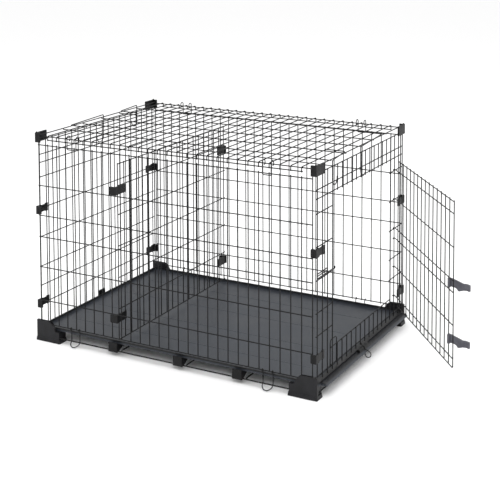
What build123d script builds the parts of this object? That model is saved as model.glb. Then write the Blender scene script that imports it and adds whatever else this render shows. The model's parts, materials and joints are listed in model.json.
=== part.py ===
from build123d import *

import math
import os

# A folding wire pet crate for a large dog, standing on the floor at z = 0.
# X runs along the crate and the door end is at +X. The front is at -Y.
# Lengths are in millimetres and angles in degrees.

# Overall size, between the planes of opposite panels
CRATE_LENGTH = 1200.0
CRATE_DEPTH = 793.5
CORNER_INSET = 12.0
FRONT_COUNT = 29
SIDE_COUNT = 20

# Wires
WIRE_D = 4.0
FRAME_WIRE_D = 5.0
LOOP_WIRE_D = 3.5
WIRE_GAP = 0.02
OVERHANG = 4.0

# Heights of the wires of the panels
LONG_BOTTOM = 67.0
LONG_TOP = 775.0
LONG_RAILS = (69.0, 161.0, 292.0, 411.0, 495.0, 612.0, 771.0)
POST_TOP = 800.0
END_TOP = 789.0
END_BOTTOM = 61.0
HEADER_RAILS = (697.0, 729.0, 785.0)
STRIP_RAILS = (217.0, 298.0, 413.0, 530.0, 646.0)
END_BOTTOM_RAIL = 73.5
FENCE_RAIL = 139.0
LEFT_BOTTOM = 46.0
LEFT_RAILS = (50.0, 139.0, 212.0, 288.0, 405.0, 517.0, 640.0, 697.0, 729.0, 785.0)
STRIP_COUNT = 4

# Roof
ROOF_Z = 807.0
ROOF_FLANGE_BOTTOM = 788.0
ROOF_BEND = 6.0
ROOF_SPACING = 125.0
ROOF_EDGE_IN = 6.75

# Door, hinged on a wire of the rear strip
DOOR_OPEN = 40.25
DOOR_FIRST = 43.5
DOOR_PITCH = 42.0
DOOR_COUNT = 15
DOOR_TOP_RAIL = 692.5
DOOR_CURLED_RAILS = (651.0, 534.5, 417.5, 376.5, 262.0, 145.0)
DOOR_BOTTOM_RAIL = 113.0
CURL_CLEARANCE = 0.4
CURL_SWEEP = 250.0

# Divider
DIVIDER_X = -230.0
DIVIDER_BOTTOM = 60.5
DIVIDER_TOP = 734.0
DIVIDER_RAILS = (63.0, 180.0, 300.0, 420.0, 540.0, 650.0, 732.0)

# Moulded clips and caps round the corner wires
CLIP_HEIGHT = 31.0
CLIP_OUT = 4.6
CLIP_IN = 1.5
CLIP_LOBE = 6.0
CLIP_UPPER = 497.3
CLIP_LOWER = 127.3
GROOVE_R = 2.15
CAP_SKIRT = 21.0
CAP_CROWN = 17.0
DIVIDER_CLIP_UPPER = 614.5

# Base frame, its feet and its tray brackets
BASE_Z = 22.0
BASE_OUT = 4.62
BASE_LONG_SHORT = 85.0
BASE_SIDE_SHORT = 18.75
CROSS_XS = (-208.0, 80.0, 330.0)
BORE_CLEARANCE = 0.05
FOOT_PROUD = 8.0
FOOT_FLARE = 2.5
FOOT_FLOOR = 44.0
FOOT_TOP = 80.0
BRACKET_XS = (-246.0, 42.0, 292.0)
BRACKET_WIDTH = 40.0

# Tray
TRAY_BOTTOM = 44.3
TRAY_RIM = 58.0
TRAY_SKIN = 2.5

XP = CRATE_LENGTH / 2
YP = CRATE_DEPTH / 2
ROOF_EDGE = YP - ROOF_EDGE_IN
BASE_LONG_END = XP - BASE_LONG_SHORT
BASE_SIDE_END = YP - BASE_SIDE_SHORT
CAP_BOTTOM = POST_TOP - CAP_SKIRT
CAP_TOP = POST_TOP + CAP_CROWN
FRONT_PITCH = (CRATE_LENGTH - 2 * CORNER_INSET) / (FRONT_COUNT - 1)
SIDE_PITCH = (CRATE_DEPTH - 2 * CORNER_INSET) / (SIDE_COUNT - 1)
LAYER = WIRE_D + WIRE_GAP
FRONT_XS = [CORNER_INSET - XP + FRONT_PITCH * k for k in range(FRONT_COUNT)]
SIDE_YS = [CORNER_INSET - YP + SIDE_PITCH * k for k in range(SIDE_COUNT)]
HINGE_Y = SIDE_YS[-3]
DOOR_WIDTH = DOOR_FIRST + DOOR_PITCH * (DOOR_COUNT - 1)

os.makedirs("parts", exist_ok=True)


def save(part, name):
    """Writes one finished piece."""
    part.label = name
    export_step(part, f"parts/{name}.step")


def wires_up(places, bottom, top, diameter=WIRE_D):
    """Adds upright wires at (x, y) places."""
    with BuildSketch(Plane.XY.offset(bottom)) as ends:
        with Locations(*places):
            Circle(diameter / 2)
    extrude(ends.sketch, amount=top - bottom)


def wires_along_x(places, start, end, diameter=WIRE_D):
    """Adds wires along the crate at (y, z) places."""
    with BuildSketch(Plane.YZ.offset(start)) as ends:
        with Locations(*places):
            Circle(diameter / 2)
    extrude(ends.sketch, amount=end - start)


def wires_along_y(places, start, end, diameter=WIRE_D):
    """Adds wires across the crate at (x, z) places."""
    with BuildSketch(Plane.XZ.offset(-end)) as ends:
        with Locations(*places):
            Circle(diameter / 2)
    extrude(ends.sketch, amount=end - start)


def bent_wire(points, radii, diameter=WIRE_D):
    """Adds a wire that is bent at each inner point of its route."""
    with BuildLine() as route:
        FilletPolyline(*points, radius=radii)
    heading = Vector(*points[1]) - Vector(*points[0])
    with BuildSketch(Plane(origin=points[0], z_dir=heading)) as end:
        Circle(diameter / 2)
    sweep(end.sketch, path=route.line)


def wire_on(pieces, diameter):
    """Adds a wire along joined pieces: two points are a line, three are an arc."""
    with BuildLine() as route:
        for points in pieces:
            if len(points) == 2:
                Line(*points)
            else:
                ThreePointArc(*points)
    with BuildSketch(Plane(origin=route.line @ 0, z_dir=route.line % 0)) as end:
        Circle(diameter / 2)
    sweep(end.sketch, path=route.line)


def on_circle(centre, radius, angle):
    """A point of a circle as a pair."""
    turn = math.radians(angle)
    return centre[0] + radius * math.cos(turn), centre[1] + radius * math.sin(turn)


def all_corners(part, names):
    """Saves a right front piece at the four corners."""
    save(part, names[0])
    save(mirror(part, about=Plane.YZ), names[1])
    save(mirror(part, about=Plane.XZ), names[2])
    save(mirror(mirror(part, about=Plane.YZ), about=Plane.XZ), names[3])


# Front and back panels
RAIL_END = FRONT_XS[-1] + WIRE_D / 2
with BuildPart() as front_panel:
    wires_up([(x, -YP) for x in FRONT_XS[1:-1]], LONG_BOTTOM, LONG_TOP)
    wires_up([(FRONT_XS[0], -YP), (FRONT_XS[-1], -YP)], LONG_BOTTOM, POST_TOP)
    wires_along_x([(-YP - LAYER, z) for z in LONG_RAILS], -RAIL_END, RAIL_END)
save(front_panel.part, "front_panel")
save(mirror(front_panel.part, about=Plane.XZ), "back_panel")

# Left end panel
END_RAIL_Y = SIDE_YS[-1] + WIRE_D / 2
CAPPED = (0, 1, SIDE_COUNT - 2, SIDE_COUNT - 1)
MIDDLE = [k for k in range(SIDE_COUNT) if k not in CAPPED]
with BuildPart() as left_panel:
    wires_up([(-XP, SIDE_YS[k]) for k in CAPPED], LEFT_BOTTOM, POST_TOP)
    wires_up([(-XP, SIDE_YS[k]) for k in MIDDLE], LEFT_BOTTOM, END_TOP)
    wires_along_y([(LAYER - XP, z) for z in LEFT_RAILS], -END_RAIL_Y, END_RAIL_Y)
save(left_panel.part, "left_panel")

# Right end panel: two strips, the header and fence of the doorway, and the catch wires
STRIP_EDGE = -SIDE_YS[STRIP_COUNT - 1]
STRIPS = [k for k in MIDDLE if k < STRIP_COUNT or k >= SIDE_COUNT - STRIP_COUNT]
DOORWAY = [k for k in MIDDLE if k not in STRIPS]
HEADER_BOTTOM = HEADER_RAILS[0] - WIRE_D / 2 - 1.0
STRIP_END = STRIP_EDGE - WIRE_D / 2
CATCH_X = XP + LAYER
CATCH_RAILS = (441.0, 433.0)
CATCH_HOOK = 424.5
CATCH_END = -315.0
CATCH_TURN_Y = -274.0
CATCH_NOSE_Y = -262.0
CATCH_NOSE_OUT = 4.5
with BuildPart() as right_panel:
    wires_up([(XP, SIDE_YS[k]) for k in CAPPED], END_BOTTOM, POST_TOP)
    wires_up([(XP, SIDE_YS[k]) for k in STRIPS], END_BOTTOM, END_TOP)
    wires_up([(XP, SIDE_YS[k]) for k in DOORWAY], END_BOTTOM, FENCE_RAIL + OVERHANG)
    wires_up([(XP, SIDE_YS[k]) for k in DOORWAY], HEADER_BOTTOM, END_TOP)
    full_rails = [(XP - LAYER, z) for z in (END_BOTTOM_RAIL, *HEADER_RAILS)]
    wires_along_y(full_rails, -END_RAIL_Y, END_RAIL_Y)
    strip_rails = [(XP - LAYER, z) for z in STRIP_RAILS]
    wires_along_y(strip_rails, -END_RAIL_Y, -STRIP_END)
    wires_along_y(strip_rails, STRIP_END, END_RAIL_Y)
    wires_along_y([(XP - LAYER, FENCE_RAIL)], -STRIP_EDGE - OVERHANG, STRIP_EDGE + OVERHANG)
    wires_along_y([(CATCH_X, z) for z in CATCH_RAILS], -END_RAIL_Y, CATCH_END)
    catch_route = [
        (CATCH_X, -END_RAIL_Y, CATCH_HOOK),
        (CATCH_X, CATCH_TURN_Y, CATCH_HOOK),
        (CATCH_X + CATCH_NOSE_OUT, CATCH_NOSE_Y, CATCH_HOOK),
        (CATCH_X + CATCH_NOSE_OUT, CATCH_NOSE_Y, CATCH_RAILS[1]),
    ]
    bent_wire(catch_route, [5.0, 4.0])
save(right_panel.part, "right_panel")

# Roof panel: cross wires bent down at both long edges over the lengthwise wires
with BuildPart() as roof_panel:
    wires_along_y([(FRONT_XS[0], ROOF_Z), (FRONT_XS[-1], ROOF_Z)], -ROOF_EDGE - WIRE_D / 2, ROOF_EDGE + WIRE_D / 2)
    for x in FRONT_XS[1:-1]:
        over_roof = [
            (x, -YP, ROOF_FLANGE_BOTTOM),
            (x, -YP, ROOF_Z),
            (x, YP, ROOF_Z),
            (x, YP, ROOF_FLANGE_BOTTOM),
        ]
        bent_wire(over_roof, [ROOF_BEND, ROOF_BEND])
    ROOF_YS = [ROOF_SPACING * k for k in (-2, -1, 0, 1, 2)]
    flat_wires = [(y, ROOF_Z - LAYER) for y in (-ROOF_EDGE, *ROOF_YS, ROOF_EDGE)]
    wires_along_x(flat_wires, FRONT_XS[0], FRONT_XS[-1])
    FLANGE_RAIL = ROOF_FLANGE_BOTTOM + WIRE_D / 2
    flange_wires = [(side * (YP - LAYER), FLANGE_RAIL) for side in (-1, 1)]
    wires_along_x(flange_wires, FRONT_XS[1] - WIRE_D / 2, FRONT_XS[-2] + WIRE_D / 2)
save(roof_panel.part, "roof_panel")

# Divider panel
DIVIDER_RAIL_Y = SIDE_YS[-1] + WIRE_D / 2
with BuildPart() as divider_panel:
    wires_up([(DIVIDER_X, y) for y in SIDE_YS], DIVIDER_BOTTOM, DIVIDER_TOP)
    wires_along_y([(DIVIDER_X + LAYER, z) for z in DIVIDER_RAILS], -DIVIDER_RAIL_Y, DIVIDER_RAIL_Y)
save(divider_panel.part, "divider_panel")

# Door, drawn on a plane that turns about the hinge wire
DOOR_ANGLE = math.radians(DOOR_OPEN - 90)
DOOR_DIRECTION = (math.cos(DOOR_ANGLE), math.sin(DOOR_ANGLE), 0)
CURL_R = WIRE_D + CURL_CLEARANCE
DOOR_LAYER = CURL_R + LAYER
DOOR_TOP = DOOR_TOP_RAIL + WIRE_D / 2
DOOR_BOTTOM = DOOR_BOTTOM_RAIL - WIRE_D / 2
door_plane = Plane(origin=(XP, HINGE_Y, 0), x_dir=DOOR_DIRECTION, z_dir=(0, 0, 1))
with BuildPart() as door_panel:
    with BuildSketch(door_plane.offset(DOOR_BOTTOM)):
        for k in range(DOOR_COUNT):
            with Locations((DOOR_FIRST + DOOR_PITCH * k, DOOR_LAYER)):
                Circle(WIRE_D / 2)
    extrude(amount=DOOR_TOP - DOOR_BOTTOM)
    plain_start = door_plane.from_local_coords(Vector(DOOR_FIRST - OVERHANG, CURL_R, 0))
    for z in (DOOR_TOP_RAIL, DOOR_BOTTOM_RAIL):
        with BuildSketch(Plane(origin=plain_start + Vector(0, 0, z), z_dir=DOOR_DIRECTION)):
            Circle(WIRE_D / 2)
        extrude(amount=DOOR_WIDTH - DOOR_FIRST + 2 * OVERHANG)
    for z in DOOR_CURLED_RAILS:
        with BuildLine(door_plane.offset(z)):
            Line((DOOR_WIDTH + OVERHANG, CURL_R), (0, CURL_R))
            CenterArc((0, 0), CURL_R, 90, CURL_SWEEP)
        rail_end = door_plane.from_local_coords(Vector(DOOR_WIDTH + OVERHANG, CURL_R, z))
        with BuildSketch(Plane(origin=rail_end, z_dir=-door_plane.x_dir)):
            Circle(WIRE_D / 2)
        sweep()
save(door_panel.part, "door_panel")

# Door latches: paddles that turn on the last door wire but one
LATCH_ANGLE = -18.0
LATCH_BARREL_R = 5.6
LATCH_IN = 2.4
LATCH_THICK = 6.0
LATCH_UPPER_Z = 393.5
LATCH_LOWER_Z = 194.0
PIVOT_U = DOOR_WIDTH - DOOR_PITCH
pivot = door_plane.from_local_coords(Vector(PIVOT_U, DOOR_LAYER, 0))
LATCH_TURN = math.radians(LATCH_ANGLE)
LATCH_DIRECTION = Vector(math.cos(LATCH_TURN), math.sin(LATCH_TURN), 0)
LATCH_OUTLINE = (
    (-5.0, 18.0), (6.0, 17.8), (20.0, 15.5), (34.0, 13.5), (56.0, 9.5), (68.0, 12.0), (86.0, 11.0),
    (86.0, -12.5), (74.0, -10.5), (58.0, -14.0), (42.0, -20.5), (37.0, -20.5), (31.0, -14.0),
    (22.0, -11.5), (8.0, -11.5), (-5.0, -13.5),
)
PADDLE = (60.0, 82.0)
with BuildPart() as latch:
    with BuildSketch(Plane.XZ.offset(-LATCH_IN - LATCH_THICK)):
        with BuildLine():
            Polyline(*LATCH_OUTLINE, close=True)
        make_face()
        fillet(vertices().sort_by(Axis.X)[-2:], 2.5)
    extrude(amount=LATCH_THICK)
    with BuildSketch(Plane.XY.offset(LATCH_OUTLINE[-1][1])):
        Circle(LATCH_BARREL_R)
    extrude(amount=LATCH_OUTLINE[0][1] - LATCH_OUTLINE[-1][1])
    with BuildSketch(Plane.XZ.offset(-LATCH_IN - LATCH_THICK)):
        with Locations(((PADDLE[0] + PADDLE[1]) / 2, -1.0)):
            RectangleRounded(PADDLE[1] - PADDLE[0], 13.0, 3.0)
    extrude(amount=1.2, mode=Mode.SUBTRACT)
    with BuildSketch(Plane.XZ.offset(-LATCH_IN)):
        with Locations(((PADDLE[0] + PADDLE[1]) / 2, -1.0)):
            RectangleRounded(PADDLE[1] - PADDLE[0], 13.0, 3.0)
    extrude(amount=-1.2, mode=Mode.SUBTRACT)
    with BuildSketch(Plane.XY.offset(-30)):
        Circle(WIRE_D / 2 + BORE_CLEARANCE)
    extrude(amount=60, mode=Mode.SUBTRACT)
for latch_name, latch_z in (("latch_upper", LATCH_UPPER_Z), ("latch_lower", LATCH_LOWER_Z)):
    seat = Plane(origin=pivot + Vector(0, 0, latch_z), x_dir=LATCH_DIRECTION, z_dir=(0, 0, 1))
    save(seat.location * latch.part, latch_name)

# Corner clip at the right front: an L round three wires, open to the inside
LOBE_X = XP - CORNER_INSET - CLIP_LOBE
CLIP_END_Y = SIDE_YS[1] + CLIP_LOBE + 0.5
CLIP_GROOVES = [(FRONT_XS[-1], -YP), (XP, SIDE_YS[0]), (XP, SIDE_YS[1])]


def corner_outline():
    """Draws the L of a clip or a cap."""
    with BuildLine() as outline:
        Polyline(
            (LOBE_X, -YP - CLIP_OUT),
            (XP + CLIP_OUT, -YP - CLIP_OUT),
            (XP + CLIP_OUT, CLIP_END_Y),
            (XP - CLIP_IN, CLIP_END_Y),
            (XP - CLIP_IN, -YP + CLIP_IN),
            (LOBE_X, -YP + CLIP_IN),
            close=True,
        )
    make_face(outline.edges())


def groove_outline():
    """Draws the snap grooves of the three corner wires."""
    with Locations(*CLIP_GROOVES):
        Circle(GROOVE_R)


PEG_HOLE_R = 1.8
LOBE_NOTCH = 4.0
PLATE_STEP = 2.5
PLATE_SHALLOW = 1.3
with BuildPart() as corner_clip:
    with BuildSketch():
        corner_outline()
    extrude(amount=CLIP_HEIGHT)
    with BuildSketch():
        groove_outline()
    extrude(amount=CLIP_HEIGHT, mode=Mode.SUBTRACT)
    with BuildSketch(Plane.XZ.offset(YP + CLIP_OUT)):
        for share in (0.62, 0.26):
            with Locations((XP - 7.2, CLIP_HEIGHT * share)):
                Circle(PEG_HOLE_R)
    extrude(amount=-1.5, mode=Mode.SUBTRACT)
    with BuildSketch(Plane.XZ.offset(YP + CLIP_OUT)):
        with BuildLine():
            Polyline(
                (XP - 5.0, CLIP_HEIGHT),
                (XP, CLIP_HEIGHT),
                (XP - 2.5, CLIP_HEIGHT - LOBE_NOTCH),
                close=True,
            )
        make_face()
    extrude(amount=-(CLIP_OUT + CLIP_IN), mode=Mode.SUBTRACT)
    with BuildSketch(Plane.YZ.offset(XP + CLIP_OUT)):
        with Locations(((SIDE_YS[0] + SIDE_YS[1]) / 2 + 1.0, CLIP_HEIGHT / 2)):
            Rectangle(SIDE_PITCH - 14.0, CLIP_HEIGHT)
    extrude(amount=-PLATE_SHALLOW, mode=Mode.SUBTRACT)
    with BuildSketch(Plane.YZ.offset(XP + CLIP_OUT)):
        for z in (PLATE_STEP / 2, CLIP_HEIGHT - PLATE_STEP / 2):
            with Locations(((SIDE_YS[0] + SIDE_YS[1]) / 2 + 1.0, z)):
                Rectangle(SIDE_PITCH - 14.0, PLATE_STEP)
    extrude(amount=-(CLIP_OUT + CLIP_IN), mode=Mode.SUBTRACT)
    fillet(corner_clip.edges().filter_by(Axis.Y).group_by(Axis.X)[0], 4.0)
    with BuildSketch(Plane.XY.offset(CLIP_HEIGHT)):
        with Locations((XP + 1.6, -YP - 1.6)):
            Circle(2.4)
    extrude(amount=1.4)
CORNERS = ("front_right", "front_left", "back_right", "back_left")
all_corners(Pos(0, 0, CLIP_UPPER) * corner_clip.part, [f"clip_upper_{c}" for c in CORNERS])
all_corners(Pos(0, 0, CLIP_LOWER) * corner_clip.part, [f"clip_lower_{c}" for c in CORNERS])

# Cap on each corner's wire ends
with BuildPart() as corner_cap:
    with BuildSketch(Plane.XY.offset(CAP_BOTTOM)):
        corner_outline()
    extrude(amount=CAP_TOP - CAP_BOTTOM)
    fillet(corner_cap.edges().group_by(Axis.Z)[-1], 1.2)
    with BuildSketch(Plane.XY.offset(CAP_BOTTOM)):
        groove_outline()
    extrude(amount=POST_TOP - CAP_BOTTOM, mode=Mode.SUBTRACT)
    with BuildSketch(Plane.XY.offset(CAP_TOP)):
        with Locations((XP, -YP)):
            Circle(3.4)
    extrude(amount=3.0, taper=12)
all_corners(corner_cap.part, [f"cap_{c}" for c in CORNERS])

# Divider clip: its front arm sits on a wire of the long panel, its side arm on the divider
DIVIDER_FRONT_X = min(FRONT_XS, key=lambda x: abs(x - (DIVIDER_X - 22.0)))
with BuildPart() as divider_clip:
    with BuildSketch():
        with BuildLine():
            Polyline(
                (DIVIDER_FRONT_X - CLIP_LOBE, -YP - CLIP_OUT),
                (DIVIDER_X + CLIP_OUT, -YP - CLIP_OUT),
                (DIVIDER_X + CLIP_OUT, -YP + CLIP_IN),
                (DIVIDER_X + WIRE_D / 2 - WIRE_GAP, -YP + CLIP_IN),
                (DIVIDER_X + WIRE_D / 2 - WIRE_GAP, SIDE_YS[1] + CLIP_LOBE),
                (DIVIDER_X - CLIP_OUT, SIDE_YS[1] + CLIP_LOBE),
                (DIVIDER_X - CLIP_OUT, -YP + CLIP_IN),
                (DIVIDER_FRONT_X - CLIP_LOBE, -YP + CLIP_IN),
                close=True,
            )
        make_face()
    extrude(amount=CLIP_HEIGHT)
    with BuildSketch():
        with Locations((DIVIDER_FRONT_X, -YP), (DIVIDER_X, SIDE_YS[0]), (DIVIDER_X, SIDE_YS[1])):
            Circle(GROOVE_R)
    extrude(amount=CLIP_HEIGHT, mode=Mode.SUBTRACT)
    lobe_edges = divider_clip.edges().filter_by(Axis.Y).group_by(Axis.X)[0]
    fillet(lobe_edges, 4.0)
for clip_z, level in ((DIVIDER_CLIP_UPPER, "upper"), (CLIP_LOWER, "lower")):
    raised = Pos(0, 0, clip_z) * divider_clip.part
    save(raised, f"divider_clip_{level}_front")
    save(mirror(raised, about=Plane.XZ), f"divider_clip_{level}_back")

# Base frame: heavy wires into the feet and cross wires under the tray
BASE_Y = YP + BASE_OUT
BASE_X = XP + BASE_OUT
CROSS_Z = BASE_Z + FRAME_WIRE_D + WIRE_GAP
with BuildPart() as base_frame:
    long_wires = [(-BASE_Y, BASE_Z), (BASE_Y, BASE_Z)]
    wires_along_x(long_wires, -BASE_LONG_END, BASE_LONG_END, FRAME_WIRE_D)
    side_wires = [(-BASE_X, BASE_Z), (BASE_X, BASE_Z)]
    wires_along_y(side_wires, -BASE_SIDE_END, BASE_SIDE_END, FRAME_WIRE_D)
    wires_along_y([(x, CROSS_Z) for x in CROSS_XS], -BASE_Y, BASE_Y, FRAME_WIRE_D)
save(base_frame.part, "base_frame")

# Foot at the right front
FOOT_X = XP + FOOT_PROUD
FOOT_Y = YP + FOOT_PROUD
FOOT_LENGTH = 111.0
FOOT_DEPTH = 42.0
FOOT_WALL = 11.75
PLINTH_TOP = 14.0
FOOT_SHOULDER = 108.0
FOOT_BROW = 56.0
FOOT_WAIST = 84.0
SHOULDER_Z = 32.0
WAIST_Z = 34.0
SLOT_FLOOR = 66.0
SLOT_START = FRONT_XS[-2] - 24.0
SLOT_OUT = LAYER + WIRE_D / 2 + 0.35
SLOT_IN = WIRE_D / 2 + 0.25
foot_side = Plane.XZ.offset(FOOT_Y)
with BuildPart() as foot:
    with BuildSketch(foot_side):
        with BuildLine():
            Polyline(
                (FOOT_X - FOOT_LENGTH, 0),
                (FOOT_X, 0),
                (FOOT_X, FOOT_TOP),
                (FOOT_X - FOOT_BROW, FOOT_TOP),
            )
            Bezier(
                (FOOT_X - FOOT_BROW, FOOT_TOP),
                (FOOT_X - FOOT_WAIST, FOOT_TOP),
                (FOOT_X - FOOT_WAIST, WAIST_Z),
                (FOOT_X - FOOT_SHOULDER, SHOULDER_Z),
            )
            Polyline(
                (FOOT_X - FOOT_SHOULDER, SHOULDER_Z),
                (FOOT_X - FOOT_SHOULDER, PLINTH_TOP),
                (FOOT_X - FOOT_LENGTH, PLINTH_TOP),
                (FOOT_X - FOOT_LENGTH, 0),
            )
        make_face()
    extrude(amount=-FOOT_WALL)
    with BuildSketch(foot_side):
        with Locations((FOOT_X - FOOT_LENGTH / 2, FOOT_FLOOR / 2)):
            Rectangle(FOOT_LENGTH - 6.0, FOOT_FLOOR)
    extrude(amount=-FOOT_DEPTH)
    outer_corner = foot.edges().filter_by(Axis.Z).group_by(Axis.X)[-1].sort_by(Axis.Y)[0]
    fillet(outer_corner, 4.0)
    with BuildSketch():
        with Locations((FOOT_X - FOOT_LENGTH / 2, -FOOT_Y + FOOT_DEPTH / 2)):
            Rectangle(FOOT_LENGTH + 2 * FOOT_FLARE, FOOT_DEPTH + 2 * FOOT_FLARE)
        fillet(vertices(), 5.0)
    extrude(amount=PLINTH_TOP, taper=8)
    slot_centre = ((SLOT_START + FRONT_XS[-1] + 4.0) / 2, -YP - (SLOT_OUT - SLOT_IN) / 2)
    with BuildSketch(Plane.XY.offset(SLOT_FLOOR)):
        with Locations(slot_centre):
            Rectangle(FRONT_XS[-1] + 4.0 - SLOT_START, SLOT_OUT + SLOT_IN)
    extrude(amount=FOOT_TOP, mode=Mode.SUBTRACT)
    with BuildSketch(Plane.YZ.offset(FOOT_X - FOOT_LENGTH - 10)):
        with Locations((-BASE_Y, BASE_Z)):
            Circle(FRAME_WIRE_D / 2 + BORE_CLEARANCE)
    HOLE_END = BASE_LONG_END + BORE_CLEARANCE
    extrude(amount=HOLE_END - FOOT_X + FOOT_LENGTH + 10, mode=Mode.SUBTRACT)
    with BuildSketch(Plane.XZ.offset(BASE_SIDE_END + BORE_CLEARANCE)):
        with Locations((BASE_X, BASE_Z)):
            Circle(FRAME_WIRE_D / 2 + BORE_CLEARANCE)
    extrude(amount=-40, mode=Mode.SUBTRACT)
    with BuildSketch(Plane.XY.offset(FOOT_TOP)):
        with Locations((FOOT_X - 8.0, -FOOT_Y + FOOT_WALL / 2)):
            Circle(3.0)
    extrude(amount=1.6)
all_corners(foot.part, [f"foot_{c}" for c in CORNERS])

# Tray brackets snapped round the base wire
LIP_TOP = 51.0
LIP_IN = 2.75
with BuildPart() as bracket:
    with BuildSketch(Plane.YZ.offset(-BRACKET_WIDTH / 2)):
        with BuildLine():
            Polyline(
                (-BASE_Y - 4.6, BASE_Z - 5.5),
                (-BASE_Y + 5.4, BASE_Z - 5.5),
                (-BASE_Y + 40.0, TRAY_BOTTOM - 8.3),
                (-BASE_Y + 40.0, TRAY_BOTTOM - 0.4),
                (-YP - LIP_IN, TRAY_BOTTOM - 0.4),
                (-YP - LIP_IN, LIP_TOP),
                (-BASE_Y - 4.6, LIP_TOP),
                close=True,
            )
        make_face()
    extrude(amount=BRACKET_WIDTH)
    fillet(bracket.edges().filter_by(Axis.Z).sort_by(Axis.Y)[:2], 1.5)
    with BuildSketch(Plane.YZ.offset(-BRACKET_WIDTH / 2)):
        with Locations((-BASE_Y, BASE_Z)):
            Circle(FRAME_WIRE_D / 2 + BORE_CLEARANCE)
    extrude(amount=BRACKET_WIDTH, mode=Mode.SUBTRACT)
for index, x in enumerate(BRACKET_XS):
    save(Pos(x, 0, 0) * bracket.part, f"bracket_front_{index + 1}")
    save(mirror(Pos(x, 0, 0) * bracket.part, about=Plane.XZ), f"bracket_back_{index + 1}")

# Bracket on the left base wire
LEFT_BRACKET_Y = 10.0
with BuildPart() as bracket_left:
    with BuildSketch(Plane.XZ.offset(-LEFT_BRACKET_Y - BRACKET_WIDTH / 2)):
        with BuildLine():
            Polyline(
                (-BASE_X - 4.6, BASE_Z - 5.5),
                (-BASE_X + 5.4, BASE_Z - 5.5),
                (-BASE_X + 40.0, TRAY_BOTTOM - 8.3),
                (-BASE_X + 40.0, TRAY_BOTTOM - 0.4),
                (-XP - LIP_IN, TRAY_BOTTOM - 0.4),
                (-XP - LIP_IN, TRAY_BOTTOM + 26.0),
                (-BASE_X - 4.6, TRAY_BOTTOM + 26.0),
                close=True,
            )
        make_face()
    extrude(amount=BRACKET_WIDTH)
    with BuildSketch(Plane.XZ.offset(-LEFT_BRACKET_Y - BRACKET_WIDTH / 2)):
        with Locations((-BASE_X, BASE_Z)):
            Circle(FRAME_WIRE_D / 2 + BORE_CLEARANCE)
    extrude(amount=BRACKET_WIDTH, mode=Mode.SUBTRACT)
save(bracket_left.part, "bracket_left")

# Tray: a shallow pan with a broad flange at the door end
TRAY_LEFT = 6.5 - XP
TRAY_RIGHT = XP + 8.0
TRAY_FLANGE = XP + 32.0
TRAY_HALF = YP - 8.75
TRAY_LEAN = 3.4
FLANGE_HALF = YP - 24.75
FLANGE_STEP = 54.0
with BuildPart() as tray:
    with BuildSketch(Plane.XY.offset(TRAY_BOTTOM)):
        with Locations(((TRAY_LEFT + TRAY_RIGHT) / 2, 0)):
            RectangleRounded(TRAY_RIGHT - TRAY_LEFT, 2 * TRAY_HALF, 14.0)
    extrude(amount=TRAY_RIM - TRAY_BOTTOM)
    with BuildSketch(Plane.XY.offset(TRAY_RIM - 4.0)):
        with Locations(((TRAY_LEFT + TRAY_RIGHT) / 2, 0)):
            RectangleRounded(TRAY_RIGHT - TRAY_LEFT, 2 * (TRAY_HALF + TRAY_LEAN), 14.0)
    extrude(amount=4.0)
    with BuildSketch(Plane.XY.offset(TRAY_BOTTOM + TRAY_SKIN)):
        with Locations(((TRAY_LEFT + TRAY_RIGHT) / 2 - 8.0, 0)):
            RectangleRounded(TRAY_RIGHT - TRAY_LEFT - 25.0, 2 * (TRAY_HALF - TRAY_SKIN), 12.0)
    extrude(amount=TRAY_RIM, mode=Mode.SUBTRACT)
    with BuildSketch(Plane.XZ.offset(-FLANGE_HALF)):
        with BuildLine():
            Polyline(
                (TRAY_RIGHT - 4.0, FLANGE_STEP),
                (XP + 24.5, FLANGE_STEP),
                (TRAY_FLANGE, 46.5),
                (TRAY_FLANGE, TRAY_BOTTOM),
                (TRAY_RIGHT - 4.0, TRAY_BOTTOM),
                close=True,
            )
        make_face()
    extrude(amount=2 * FLANGE_HALF)
save(tray.part, "tray")

# Tray latch: a bent wire with an open ring, turning in two lugs on the tray's flange
LATCH_PIVOT = (XP + 17.0, FLANGE_STEP + 6.5)
LATCH_Y = -36.0
LATCH_TIP = (XP + 10.0, 75.0)
RING_CENTRE = (XP + 38.0, 37.0)
RING_R = 11.75
RING_START = 69.0
RING_SWEEP = -249.0
PIN_END = 12.0
LUGS = ((-76.0, -39.5), (-32.5, 8.0))
LUG_BORE_CLEARANCE = 0.05
with BuildPart() as latch_retainer:
    for lug_start, lug_end in LUGS:
        with BuildSketch(Plane.XZ.offset(-lug_end)):
            with BuildLine():
                Polyline(
                    (LATCH_PIVOT[0] - 5.0, FLANGE_STEP + WIRE_GAP),
                    (LATCH_PIVOT[0] - 5.0, LATCH_PIVOT[1]),
                    (LATCH_PIVOT[0] - 3.0, LATCH_PIVOT[1] + 4.0),
                    (LATCH_PIVOT[0] + 3.0, LATCH_PIVOT[1] + 4.0),
                    (LATCH_PIVOT[0] + 7.0, LATCH_PIVOT[1] - 2.0),
                    (LATCH_PIVOT[0] + 7.0, FLANGE_STEP + WIRE_GAP),
                    close=True,
                )
            make_face()
            with Locations(LATCH_PIVOT):
                Circle(LOOP_WIRE_D / 2 + LUG_BORE_CLEARANCE, mode=Mode.SUBTRACT)
        extrude(amount=lug_end - lug_start)
save(latch_retainer.part, "latch_retainer")
ring = [on_circle(RING_CENTRE, RING_R, RING_START + RING_SWEEP * share) for share in (0, 0.5, 1)]
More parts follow.
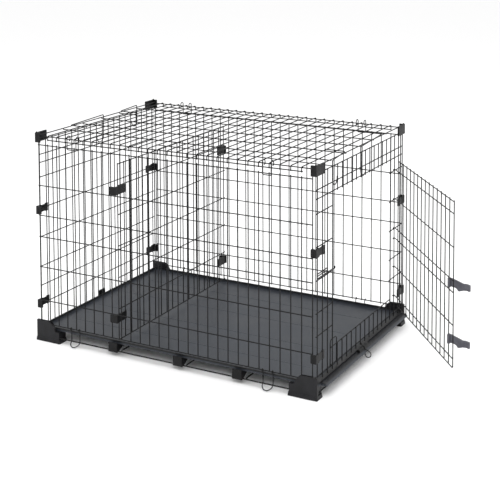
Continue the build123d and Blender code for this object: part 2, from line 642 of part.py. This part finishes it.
with BuildPart() as tray_latch:
    with BuildLine() as latch_route:
        FilletPolyline(
            (LATCH_TIP[0], LATCH_Y, LATCH_TIP[1]),
            (LATCH_PIVOT[0], LATCH_Y, LATCH_PIVOT[1]),
            (ring[0][0], LATCH_Y, ring[0][1]),
            radius=6.0,
        )
        ThreePointArc(*[(x, LATCH_Y, z) for x, z in ring])
    with BuildSketch(Plane(origin=latch_route.line @ 0, z_dir=latch_route.line % 0)):
        Circle(LOOP_WIRE_D / 2)
    sweep()
    wires_along_y([LATCH_PIVOT], LATCH_Y - PIN_END, LATCH_Y + PIN_END, LOOP_WIRE_D)
save(tray_latch.part, "tray_latch")

# Fence hook: a bent wire guide on the inside of the fence
FENCE_HOOK_X = XP - LAYER - (WIRE_D + LOOP_WIRE_D) / 2 - WIRE_GAP
FENCE_HOOK_YS = (-265.0, -213.0)
FENCE_HOOK_BOTTOM = 66.0
FENCE_HOOK_TOP = 163.0
with BuildPart() as fence_hook:
    guide_route = [
        (FENCE_HOOK_X, FENCE_HOOK_YS[0], FENCE_HOOK_BOTTOM),
        (FENCE_HOOK_X, FENCE_HOOK_YS[0], FENCE_HOOK_TOP),
        (FENCE_HOOK_X, FENCE_HOOK_YS[1], FENCE_HOOK_TOP),
        (FENCE_HOOK_X, FENCE_HOOK_YS[1], FENCE_HOOK_BOTTOM),
    ]
    bent_wire(guide_route, [12.0, 12.0], LOOP_WIRE_D)
save(fence_hook.part, "fence_hook")

# Roof hooks: an arm on the roof, a run over the end and a leg that turns up at its end
ROOF_HOOK_Z = ROOF_Z + LAYER
ROOF_HOOK_X = XP + 6.0
ARM_LENGTH = 81.0
ARM_END = XP - 13.0
ARM_START = ARM_END - ARM_LENGTH
ROOF_HOOKS = (
    ("one", -131.0, -278.0, 722.0, 38.0),
    ("two", 206.0, -37.0, 700.0, 46.0),
)
for number, arm_y, leg_y, leg_end, leg_return in ROOF_HOOKS:
    with BuildPart() as roof_hook:
        hook_route = [
            (ARM_START, arm_y, ROOF_HOOK_Z),
            (ARM_END, arm_y, ROOF_HOOK_Z),
            (ROOF_HOOK_X, leg_y, ROOF_HOOK_Z),
            (ROOF_HOOK_X, leg_y, leg_end),
            (ROOF_HOOK_X, leg_y + leg_return, leg_end),
            (ROOF_HOOK_X, leg_y + leg_return, leg_end + 26.0),
        ]
        bent_wire(hook_route, [12.0, 6.0, leg_return / 2 - 0.5, leg_return / 2 - 0.5])
    save(roof_hook.part, f"roof_hook_right_{number}")
    save(Rot(0, 0, 180) * roof_hook.part, f"roof_hook_left_{number}")

# Roof loops: an eye over the roof's edge wire and a bow that holds the panel's top rail
ROOF_LOOP_XS = ((-447.0, -405.0), (398.0, 432.0))
LOOP_EYE = (WIRE_D + LOOP_WIRE_D) / 2 + 0.35
ROOF_LOOP_OUT = YP + LAYER + (WIRE_D + LOOP_WIRE_D) / 2 + 0.2
ROOF_LOOP_TOP = 817.2
ROOF_EDGE_Z = ROOF_Z - LAYER
LOOP_IN = ROOF_EDGE - LOOP_EYE
LOOP_UNDER = ROOF_EDGE_Z - LOOP_EYE
CATCH_Z = LONG_RAILS[-1]
CROWN_R = (ROOF_LOOP_OUT - LOOP_IN) / 2
for side, (first_x, second_x) in zip(("left", "right"), ROOF_LOOP_XS):
    with BuildPart() as roof_loop:
        half = []
        for x in (first_x, second_x):
            rise = [
                (x, -ROOF_EDGE - 2.5, LOOP_UNDER),
                (x, -LOOP_IN, LOOP_UNDER),
                (x, -LOOP_IN, ROOF_LOOP_TOP),
                (x, -ROOF_LOOP_OUT, ROOF_LOOP_TOP),
                (x, -ROOF_LOOP_OUT, CATCH_Z - 2.0),
                (x, 3.8 - ROOF_LOOP_OUT, CATCH_Z - 5.8),
            ]
            half.append(rise)
        crown = CROWN_R - 0.1
        turns = [2.2, crown, crown, 3.0, 3.0]
        loop_route = half[0] + half[1][::-1]
        bent_wire(loop_route, turns + turns[::-1], LOOP_WIRE_D)
    save(roof_loop.part, f"roof_loop_front_{side}")
    save(mirror(roof_loop.part, about=Plane.XZ), f"roof_loop_back_{side}")

# Base loops: eyes round the panel's bottom rail, legs inside the base wire and a finger bow
BASE_LOOP_XS = ((-444.0, -405.0), (394.0, 434.0))
EYE_CENTRE = (-YP - LAYER, LONG_RAILS[0])
EYE_R = (WIRE_D + LOOP_WIRE_D) / 2 + 0.25
LEG_Y = EYE_CENTRE[0] + EYE_R
TURN_R = LEG_Y + BASE_Y
TURN_CENTRE = (-BASE_Y, BASE_Z)
TURN_ANGLE = 50.0
BOW_LEAN = math.radians(90 - TURN_ANGLE)
BOW_STRAIGHT = 2.0
for side, (first_x, second_x) in zip(("left", "right"), BASE_LOOP_XS):
    bow_r = (second_x - first_x) / 2
    bow_start = on_circle(TURN_CENTRE, TURN_R, -TURN_ANGLE)
    out_y, out_z = -math.cos(BOW_LEAN), -math.sin(BOW_LEAN)
    bow_root = (bow_start[0] + BOW_STRAIGHT * out_y, bow_start[1] + BOW_STRAIGHT * out_z)
    bow_tip = (bow_root[0] + bow_r * out_y, bow_root[1] + bow_r * out_z)

    def leg(x):
        """The pieces of one leg from its eye to the bow."""
        return [
            (
                (x, *on_circle(EYE_CENTRE, EYE_R, 230)),
                (x, *on_circle(EYE_CENTRE, EYE_R, 115)),
                (x, *on_circle(EYE_CENTRE, EYE_R, 0)),
            ),
            ((x, LEG_Y, EYE_CENTRE[1]), (x, LEG_Y, BASE_Z)),
            (
                (x, LEG_Y, BASE_Z),
                (x, *on_circle(TURN_CENTRE, TURN_R, -TURN_ANGLE / 2)),
                (x, *bow_start),
            ),
            ((x, *bow_start), (x, *bow_root)),
        ]

    with BuildPart() as base_loop:
        there = leg(first_x)
        back = [points[::-1] for points in leg(second_x)[::-1]]
        bow = ((first_x, *bow_root), ((first_x + second_x) / 2, *bow_tip), (second_x, *bow_root))
        wire_on([*there, bow, *back], LOOP_WIRE_D)
    save(base_loop.part, f"base_loop_front_{side}")
    save(mirror(base_loop.part, about=Plane.XZ), f"base_loop_back_{side}")
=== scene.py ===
"""Looks of a folding wire pet crate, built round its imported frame."""

from __future__ import annotations

import json
import logging
import math
from dataclasses import dataclass
from enum import Enum
from typing import Iterable, Sequence

import bpy
import numpy as np
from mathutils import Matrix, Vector


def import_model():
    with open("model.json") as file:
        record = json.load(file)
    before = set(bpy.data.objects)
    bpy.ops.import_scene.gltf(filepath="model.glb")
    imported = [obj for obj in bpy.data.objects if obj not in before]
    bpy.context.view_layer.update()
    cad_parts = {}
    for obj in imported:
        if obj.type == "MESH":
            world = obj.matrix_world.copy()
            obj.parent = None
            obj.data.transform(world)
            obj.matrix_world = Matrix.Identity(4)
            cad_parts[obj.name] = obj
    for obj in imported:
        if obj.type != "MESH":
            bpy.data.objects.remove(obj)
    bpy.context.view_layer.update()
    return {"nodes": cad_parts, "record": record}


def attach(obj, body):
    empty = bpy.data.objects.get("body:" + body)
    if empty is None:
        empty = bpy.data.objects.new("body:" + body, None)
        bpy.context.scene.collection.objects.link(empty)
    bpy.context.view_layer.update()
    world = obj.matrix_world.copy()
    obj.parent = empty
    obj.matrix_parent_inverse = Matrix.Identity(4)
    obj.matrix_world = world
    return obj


LOG = logging.getLogger("crate")
MM = 0.001
WHITE = (1.0, 1.0, 1.0, 1.0)
Point = tuple[float, float, float]


class Slot(Enum):
    """The material slots of the crate."""

    WIRE = "wire"
    CLIP = "clip"
    FOOT = "foot"
    LATCH = "latch"
    TRAY = "tray"


@dataclass(frozen=True)
class Surface:
    """The finish of one material: two close colours in slow clouds, under a fine grain."""

    base: Point
    tone: Point
    roughness: float
    grain_scale: float
    grain_depth: float
    cloud_scale: float
    specular: float


SURFACES: dict[Slot, Surface] = {
    Slot.WIRE: Surface((0.005, 0.005, 0.005), (0.010, 0.010, 0.011), 0.45, 1400.0, 0.25, 60.0, 0.14),
    Slot.CLIP: Surface((0.004, 0.004, 0.004), (0.008, 0.008, 0.009), 0.42, 2200.0, 0.35, 45.0, 0.16),
    Slot.FOOT: Surface((0.006, 0.006, 0.007), (0.012, 0.012, 0.014), 0.40, 1800.0, 0.40, 25.0, 0.20),
    Slot.LATCH: Surface((0.052, 0.052, 0.064), (0.078, 0.078, 0.092), 0.45, 2000.0, 0.30, 60.0, 0.35),
    Slot.TRAY: Surface((0.028, 0.032, 0.039), (0.042, 0.047, 0.056), 0.42, 900.0, 0.25, 6.0, 0.22),
}


@dataclass(frozen=True)
class Grid:
    """Two layers of crossing wires: the body that they ride on and where they cross."""

    body: str
    name: str
    crossings: list[Point]


class Nodes:
    """A thin helper that adds nodes to a tree and joins them."""

    SHARE = 0
    FIRST_COLOUR = 6
    SECOND_COLOUR = 7
    MIXED_COLOUR = 2

    def __init__(self, tree: bpy.types.NodeTree) -> None:
        self.tree = tree

    def add(self, kind: str, **values: float) -> bpy.types.Node:
        """Adds a node and sets named inputs."""
        node = self.tree.nodes.new(kind)
        for key, value in values.items():
            node.inputs[key.replace("_", " ")].default_value = value
        return node

    def colour_mix(self) -> bpy.types.Node:
        """Adds a mix of two colours, whose sockets are known by their numbers."""
        node = self.add("ShaderNodeMix")
        node.data_type = "RGBA"
        return node

    def join(self, source: bpy.types.NodeSocket, target: bpy.types.NodeSocket) -> None:
        """Joins two sockets."""
        self.tree.links.new(source, target)


def moulded_grain() -> bpy.types.NodeTree:
    """The shared effect: fine grain as a normal, and slow clouds as a mask."""
    cloud_start, cloud_end = 0.35, 0.68
    grain_height = 0.0004
    tree = bpy.data.node_groups.new("moulded_grain", "ShaderNodeTree")
    face = tree.interface
    for label, start in (("Grain", 1500.0), ("Depth", 0.3), ("Clouds", 40.0)):
        socket = face.new_socket(label, in_out="INPUT", socket_type="NodeSocketFloat")
        socket.default_value = start
    face.new_socket("Mask", in_out="OUTPUT", socket_type="NodeSocketFloat")
    face.new_socket("Normal", in_out="OUTPUT", socket_type="NodeSocketVector")
    nodes = Nodes(tree)
    inside = nodes.add("NodeGroupInput")
    outside = nodes.add("NodeGroupOutput")
    place = nodes.add("ShaderNodeTexCoord")
    fine = nodes.add("ShaderNodeTexNoise", Detail=3.0, Roughness=0.6)
    cloud = nodes.add("ShaderNodeTexNoise", Detail=4.0, Roughness=0.55)
    bump = nodes.add("ShaderNodeBump", Distance=grain_height)
    spread = nodes.add("ShaderNodeMapRange")
    spread.inputs["From Min"].default_value = cloud_start
    spread.inputs["From Max"].default_value = cloud_end
    nodes.join(place.outputs["Object"], fine.inputs["Vector"])
    nodes.join(place.outputs["Object"], cloud.inputs["Vector"])
    nodes.join(inside.outputs["Grain"], fine.inputs["Scale"])
    nodes.join(inside.outputs["Clouds"], cloud.inputs["Scale"])
    nodes.join(inside.outputs["Depth"], bump.inputs["Strength"])
    nodes.join(fine.outputs["Fac"], bump.inputs["Height"])
    nodes.join(cloud.outputs["Fac"], spread.inputs["Value"])
    nodes.join(spread.outputs["Result"], outside.inputs["Mask"])
    nodes.join(bump.outputs["Normal"], outside.inputs["Normal"])
    return tree


class Finisher:
    """Makes the materials and gives them to the pieces."""

    SMOOTHER = 0.06
    ROUGHER = 0.08
    # Painted shade on the tray's walls: the heights in metres where it starts and is full, and its
    # near-black colour.
    WALL_SHADE_START = 0.0475
    WALL_SHADE_END = 0.0550
    WALL_SHADE_COLOUR = (0.006, 0.006, 0.007, 1.0)

    def __init__(self) -> None:
        self.grain = moulded_grain()
        self.made = {slot: self.make(slot, surface) for slot, surface in SURFACES.items()}

    def make(self, slot: Slot, surface: Surface) -> bpy.types.Material:
        """Builds one material from its surface."""
        material = bpy.data.materials.new(f"crate_{slot.value}")
        material.use_nodes = True
        tree = material.node_tree
        nodes = Nodes(tree)
        shader = tree.nodes["Principled BSDF"]
        shader.inputs["Specular IOR Level"].default_value = surface.specular
        group = nodes.add("ShaderNodeGroup")
        group.node_tree = self.grain
        group.inputs["Grain"].default_value = surface.grain_scale
        group.inputs["Depth"].default_value = surface.grain_depth
        group.inputs["Clouds"].default_value = surface.cloud_scale
        mix = nodes.colour_mix()
        mix.inputs[Nodes.FIRST_COLOUR].default_value = (*surface.base, 1.0)
        mix.inputs[Nodes.SECOND_COLOUR].default_value = (*surface.tone, 1.0)
        rough = nodes.add("ShaderNodeMapRange")
        rough.inputs["To Min"].default_value = surface.roughness - self.SMOOTHER
        rough.inputs["To Max"].default_value = surface.roughness + self.ROUGHER
        nodes.join(group.outputs["Mask"], mix.inputs[Nodes.SHARE])
        nodes.join(group.outputs["Mask"], rough.inputs["Value"])
        nodes.join(group.outputs["Normal"], shader.inputs["Normal"])
        nodes.join(rough.outputs["Result"], shader.inputs["Roughness"])
        colour = mix.outputs[Nodes.MIXED_COLOUR]
        # The tray's walls above its floor get painted shade.
        if slot is Slot.TRAY:
            colour = self.paint_tray_wall_shade(nodes, colour)
        nodes.join(colour, shader.inputs["Base Color"])
        return material

    def paint_tray_wall_shade(self, nodes: Nodes, colour: bpy.types.NodeSocket) -> bpy.types.NodeSocket:
        """Darkens the tray above its floor with painted shade, so its walls and rim read darker than its
        lit floor.
        """
        place = nodes.add("ShaderNodeTexCoord")
        split = nodes.add("ShaderNodeSeparateXYZ")
        lift = nodes.add("ShaderNodeMapRange")
        lift.inputs["From Min"].default_value = self.WALL_SHADE_START
        lift.inputs["From Max"].default_value = self.WALL_SHADE_END
        # Mixes the tray's colour towards the painted shade colour by height.
        wall_shade_mix = nodes.colour_mix()
        wall_shade_mix.inputs[Nodes.SECOND_COLOUR].default_value = self.WALL_SHADE_COLOUR
        nodes.join(place.outputs["Object"], split.inputs["Vector"])
        nodes.join(split.outputs["Z"], lift.inputs["Value"])
        nodes.join(lift.outputs["Result"], wall_shade_mix.inputs[Nodes.SHARE])
        nodes.join(colour, wall_shade_mix.inputs[Nodes.FIRST_COLOUR])
        return wall_shade_mix.outputs[Nodes.MIXED_COLOUR]

    def give(self, thing: bpy.types.Object, slot: Slot) -> None:
        """Gives an object the material of a slot."""
        thing.data.materials.clear()
        thing.data.materials.append(self.made[slot])

    def add(self, thing: bpy.types.Object, slot: Slot, body: str) -> None:
        """Finishes a piece that the scene adds, and lets it ride on its body."""
        self.give(thing, slot)
        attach(thing, body)


def mesh_object(name: str, points: np.ndarray, faces: Iterable[Sequence[int]]) -> bpy.types.Object:
    """Makes a smooth mesh object in the scene."""
    mesh = bpy.data.meshes.new(name)
    mesh.from_pydata([tuple(p) for p in points], [], [tuple(f) for f in faces])
    mesh.update()
    for polygon in mesh.polygons:
        polygon.use_smooth = True
    thing = bpy.data.objects.new(name, mesh)
    bpy.context.scene.collection.objects.link(thing)
    return thing


class WeldMaker:
    """Makes the small nuggets that spot welding leaves where two wires cross."""

    SIDES = 8
    RINGS = 4
    LEAST_SWELL = 0.85
    MOST_SWELL = 1.15

    def __init__(self, seed: int = 7) -> None:
        self.random = np.random.default_rng(seed)
        self.unit, self.faces = self.ball()

    def ball(self) -> tuple[np.ndarray, np.ndarray]:
        """A unit sphere. Each face is a row of four point numbers, and a triangle repeats its last."""
        points = [(0.0, 0.0, -1.0)]
        for ring in range(1, self.RINGS):
            lift = -math.pi / 2 + math.pi * ring / self.RINGS
            for side in range(self.SIDES):
                turn = 2 * math.pi * side / self.SIDES
                reach = math.cos(lift)
                points.append((reach * math.cos(turn), reach * math.sin(turn), math.sin(lift)))
        points.append((0.0, 0.0, 1.0))
        top = len(points) - 1
        faces = []
        for side in range(self.SIDES):
            after = (side + 1) % self.SIDES
            last = 1 + (self.RINGS - 2) * self.SIDES
            faces.append((0, 1 + after, 1 + side, 1 + side))
            faces.append((top, last + side, last + after, last + after))
            for ring in range(self.RINGS - 2):
                low = 1 + ring * self.SIDES
                high = low + self.SIDES
                faces.append((low + side, low + after, high + after, high + side))
        return np.array(points), np.array(faces)

    def build(self, grid: Grid, sizes: Point) -> bpy.types.Object:
        """Makes all the nuggets of one panel as one object."""
        points, faces = [], []
        for index, crossing in enumerate(grid.crossings):
            swell = self.random.uniform(self.LEAST_SWELL, self.MOST_SWELL, 3)
            points.append(self.unit * np.array(sizes) * swell + np.array(crossing))
            faces.append(self.faces + index * len(self.unit))
        rows = [tuple(dict.fromkeys(face)) for face in np.vstack(faces).tolist()]
        return mesh_object(grid.name, np.vstack(points) * MM, rows)


@dataclass(frozen=True)
class CratePlan:
    """The wire places of the crate, in millimetres."""

    half_length: float = 600.0
    half_depth: float = 396.75
    inset: float = 12.0
    long_pitch: float = 42.0
    long_count: int = 29
    end_pitch: float = 40.5
    end_count: int = 20
    strip_count: int = 4
    layer: float = 4.02
    long_rails: tuple[float, ...] = (69.0, 161.0, 292.0, 411.0, 495.0, 612.0, 771.0)
    left_rails: tuple[float, ...] = (50.0, 139.0, 212.0, 288.0, 405.0, 517.0, 640.0, 697.0, 729.0, 785.0)
    header_rails: tuple[float, ...] = (697.0, 729.0, 785.0)
    strip_rails: tuple[float, ...] = (217.0, 298.0, 413.0, 530.0, 646.0)
    divider_rails: tuple[float, ...] = (63.0, 180.0, 300.0, 420.0, 540.0, 650.0, 732.0)
    door_rails: tuple[float, ...] = (692.5, 651.0, 534.5, 417.5, 376.5, 262.0, 145.0, 113.0)
    divider_x: float = -230.0
    bottom_rail: float = 73.5
    fence_rail: float = 139.0
    roof_z: float = 807.0
    roof_ys: tuple[float, ...] = (-390.0, -250.0, -125.0, 0.0, 125.0, 250.0, 390.0)
    door_angle: float = -49.75
    door_first: float = 43.5
    door_count: int = 15
    door_depth: float = 4.4

    def xs(self) -> list[float]:
        """The upright wires of a long panel."""
        return [self.inset - self.half_length + self.long_pitch * k for k in range(self.long_count)]

    def ys(self) -> list[float]:
        """The upright wires of an end panel."""
        return [self.inset - self.half_depth + self.end_pitch * k for k in range(self.end_count)]


def long_grid(plan: CratePlan, side: int) -> Grid:
    """The crossings of the front or back panel."""
    y = side * (plan.half_depth + plan.layer / 2)
    spots = [(x, y, z) for x in plan.xs() for z in plan.long_rails]
    return Grid("crate", f"welds_long_{'front' if side < 0 else 'back'}", spots)


def left_grid(plan: CratePlan) -> Grid:
    """The crossings of the left end panel."""
    x = plan.layer / 2 - plan.half_length
    return Grid("crate", "welds_left", [(x, y, z) for y in plan.ys() for z in plan.left_rails])


def right_grid(plan: CratePlan) -> Grid:
    """The crossings of the right end panel, round its doorway."""
    x = plan.half_length - plan.layer / 2
    ys = plan.ys()
    spots = [(x, y, z) for y in ys for z in (plan.bottom_rail, *plan.header_rails)]
    strip = plan.strip_count
    spots += [(x, y, plan.fence_rail) for y in ys[strip - 1 : 1 - strip]]
    spots += [(x, y, z) for y in ys[:strip] + ys[-strip:] for z in plan.strip_rails]
    return Grid("crate", "welds_right", spots)


def divider_grid(plan: CratePlan) -> Grid:
    """The crossings of the divider."""
    x = plan.divider_x + plan.layer / 2
    return Grid("crate", "welds_divider", [(x, y, z) for y in plan.ys() for z in plan.divider_rails])


def roof_grid(plan: CratePlan) -> Grid:
    """The crossings of the roof."""
    z = plan.roof_z - plan.layer / 2
    return Grid("crate", "welds_roof", [(x, y, z) for x in plan.xs() for y in plan.roof_ys])


def door_grid(plan: CratePlan) -> Grid:
    """The crossings of the open door."""
    turn = math.radians(plan.door_angle)
    along, out = (math.cos(turn), math.sin(turn)), (-math.sin(turn), math.cos(turn))
    hinge = (plan.half_length, plan.ys()[-3])
    depth = plan.door_depth + plan.layer / 2
    spots = []
    for k in range(plan.door_count):
        reach = plan.door_first + plan.long_pitch * k
        x = hinge[0] + reach * along[0] + depth * out[0]
        y = hinge[1] + reach * along[1] + depth * out[1]
        spots += [(x, y, z) for z in plan.door_rails]
    return Grid("door", "welds_door", spots)


def add_welds(plan: CratePlan, finisher: Finisher) -> None:
    """Adds the weld nuggets of every panel."""
    maker = WeldMaker()
    wide, thin = 1.7, 1.1
    slanted = 1.5
    on_long_panel = (wide, thin, wide)
    on_end_panel = (thin, wide, wide)
    on_roof = (wide, wide, thin)
    on_door = (slanted, slanted, wide)
    jobs = [
        (long_grid(plan, -1), on_long_panel),
        (long_grid(plan, 1), on_long_panel),
        (left_grid(plan), on_end_panel),
        (right_grid(plan), on_end_panel),
        (divider_grid(plan), on_end_panel),
        (roof_grid(plan), on_roof),
        (door_grid(plan), on_door),
    ]
    for grid, sizes in jobs:
        nuggets = maker.build(grid, sizes)
        finisher.add(nuggets, Slot.WIRE, grid.body)
        LOG.info("%s: %d welds", grid.name, len(grid.crossings))


def tray_step(name: str, start: Point, end: Point) -> bpy.types.Object:
    """Makes a low rounded step across the tray."""
    radius, flatness = 1.6, 0.6
    a, b = np.array(start), np.array(end)
    turns = np.linspace(0, math.pi, 9)
    arch = [(radius * math.cos(t), 0, flatness * radius * math.sin(t)) for t in turns]
    points = [a + rise for rise in arch] + [b + rise for rise in arch]
    count = len(turns)
    faces = [(k, k + 1, count + k + 1, count + k) for k in range(count - 1)]
    faces.append(tuple(range(count))[::-1])
    faces.append(tuple(range(count, 2 * count)))
    faces.append((0, count, 2 * count - 1, count - 1))
    return mesh_object(name, np.array(points) * MM, faces)


def tray_rib(name: str, low: Point, length: float) -> bpy.types.Object:
    """Makes a shallow lengthwise rib with soft ends."""
    steps, half, height, end_slope = 24, 3.0, 0.7, 14
    points, faces = [], []
    for step in range(steps + 1):
        share = step / steps
        lift = min(1.0, end_slope * share, end_slope * (1 - share))
        x = low[0] + length * share
        points.append((x, low[1] - half, low[2]))
        points.append((x, low[1], low[2] + height * lift))
        points.append((x, low[1] + half, low[2]))
    for step in range(steps):
        a = 3 * step
        faces += [(a, a + 3, a + 4, a + 1), (a + 1, a + 4, a + 5, a + 2), (a, a + 2, a + 5, a + 3)]
    faces += [(0, 1, 2), (3 * steps, 3 * steps + 2, 3 * steps + 1)]
    return mesh_object(name, np.array(points) * MM, faces)


def add_tray_beads(finisher: Finisher) -> None:
    """Adds the fine steps and ribs that stiffen the tray's floor."""
    step_xs, step_half, step_z = (566.0, 573.0, 580.0), 376.0, 46.75
    rib_ys, rib_start, rib_length, rib_z = (-258.0, -86.0, 86.0, 258.0), -560.0, 1100.0, 46.7
    for index, x in enumerate(step_xs):
        step = tray_step(f"tray_step_{index + 1}", (x, -step_half, step_z), (x, step_half, step_z))
        finisher.add(step, Slot.TRAY, "tray")
    for index, y in enumerate(rib_ys):
        rib = tray_rib(f"tray_rib_{index + 1}", (rib_start, y, rib_z), rib_length)
        finisher.add(rib, Slot.TRAY, "tray")


def finish_nodes(frame: dict, finisher: Finisher) -> None:
    """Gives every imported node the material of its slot."""
    slots = {part["node"]: part["material_slot"] for part in frame["record"]["subparts"]}
    for node, thing in frame["nodes"].items():
        finisher.give(thing, Slot(slots[node]))


def build_stage() -> None:
    """Adds the wide pale floor."""
    reach = 30.0
    corners = np.array([(-1, -1, 0), (1, -1, 0), (1, 1, 0), (-1, 1, 0)]) * reach
    floor = mesh_object("studio_floor", corners, [(0, 1, 2, 3)])
    material = bpy.data.materials.new("studio_pale")
    material.use_nodes = True
    shader = material.node_tree.nodes["Principled BSDF"]
    shader.inputs["Base Color"].default_value = (0.97, 0.97, 0.97, 1.0)
    shader.inputs["Roughness"].default_value = 0.9
    shader.inputs["Specular IOR Level"].default_value = 0.1
    floor.data.materials.append(material)


@dataclass(frozen=True)
class Softbox:
    """One area light, in metres and watts."""

    name: str
    place: Point
    aim: Point
    size: float
    power: float

    def hang(self) -> None:
        """Adds the light to the scene, turned towards its aim."""
        light = bpy.data.lights.new(self.name, "AREA")
        light.size = self.size
        light.energy = self.power
        lamp = bpy.data.objects.new(self.name, light)
        lamp.location = self.place
        way = np.array(self.aim) - np.array(self.place)
        lamp.rotation_euler = (
            math.atan2(math.hypot(way[0], way[1]), -way[2]),
            0.0,
            math.atan2(way[1], way[0]) - math.pi / 2,
        )
        bpy.context.scene.collection.objects.link(lamp)


SOFTBOXES = (
    Softbox("key", (1.5, -3.0, 4.2), (0.0, 0.0, 0.3), 3.2, 120.0),
    Softbox("fill", (-4.0, -2.5, 2.6), (0.0, 0.0, 0.4), 3.0, 60.0),
    Softbox("rim", (3.5, 3.0, 3.4), (0.2, 0.0, 0.4), 2.4, 70.0),
)


def build_lights() -> None:
    """Adds the soft studio light and an even white world."""
    for box in SOFTBOXES:
        box.hang()
    world = bpy.data.worlds.new("studio")
    world.use_nodes = True
    bpy.context.scene.world = world
    back = world.node_tree.nodes["Background"]
    back.inputs["Color"].default_value = WHITE
    back.inputs["Strength"].default_value = 1.0


@dataclass(frozen=True)
class PhotoCamera:
    """Where the photograph was taken from: nearly level, with the lens shifted down on the crate."""

    place: Point = (2.2919, -3.8391, 1.7360)
    tilt: float = 85.839
    heading: float = 27.007
    sensor: float = 36.0
    lens: float = 82.85
    shift_across: float = -0.0988
    shift_up: float = -0.546
    pixels: int = 500

    def set_up(self) -> None:
        """Adds the camera and gives the scene the photograph's size."""
        lens = bpy.data.cameras.new("photo_camera")
        lens.sensor_width = self.sensor
        lens.lens = self.lens
        lens.shift_x = self.shift_across
        lens.shift_y = self.shift_up
        camera = bpy.data.objects.new("photo_camera", lens)
        camera.location = self.place
        camera.rotation_euler = (math.radians(self.tilt), 0.0, math.radians(self.heading))
        scene = bpy.context.scene
        scene.collection.objects.link(camera)
        scene.camera = camera
        scene.render.engine = "CYCLES"
        scene.view_settings.view_transform = "Standard"
        scene.render.resolution_x = self.pixels
        scene.render.resolution_y = self.pixels


def main() -> None:
    """Builds the whole picture."""
    logging.basicConfig(level=logging.INFO)
    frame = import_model()
    finisher = Finisher()
    finish_nodes(frame, finisher)
    add_welds(CratePlan(), finisher)
    add_tray_beads(finisher)
    build_stage()
    build_lights()
    PhotoCamera().set_up()


if __name__ == "__main__":
    main()
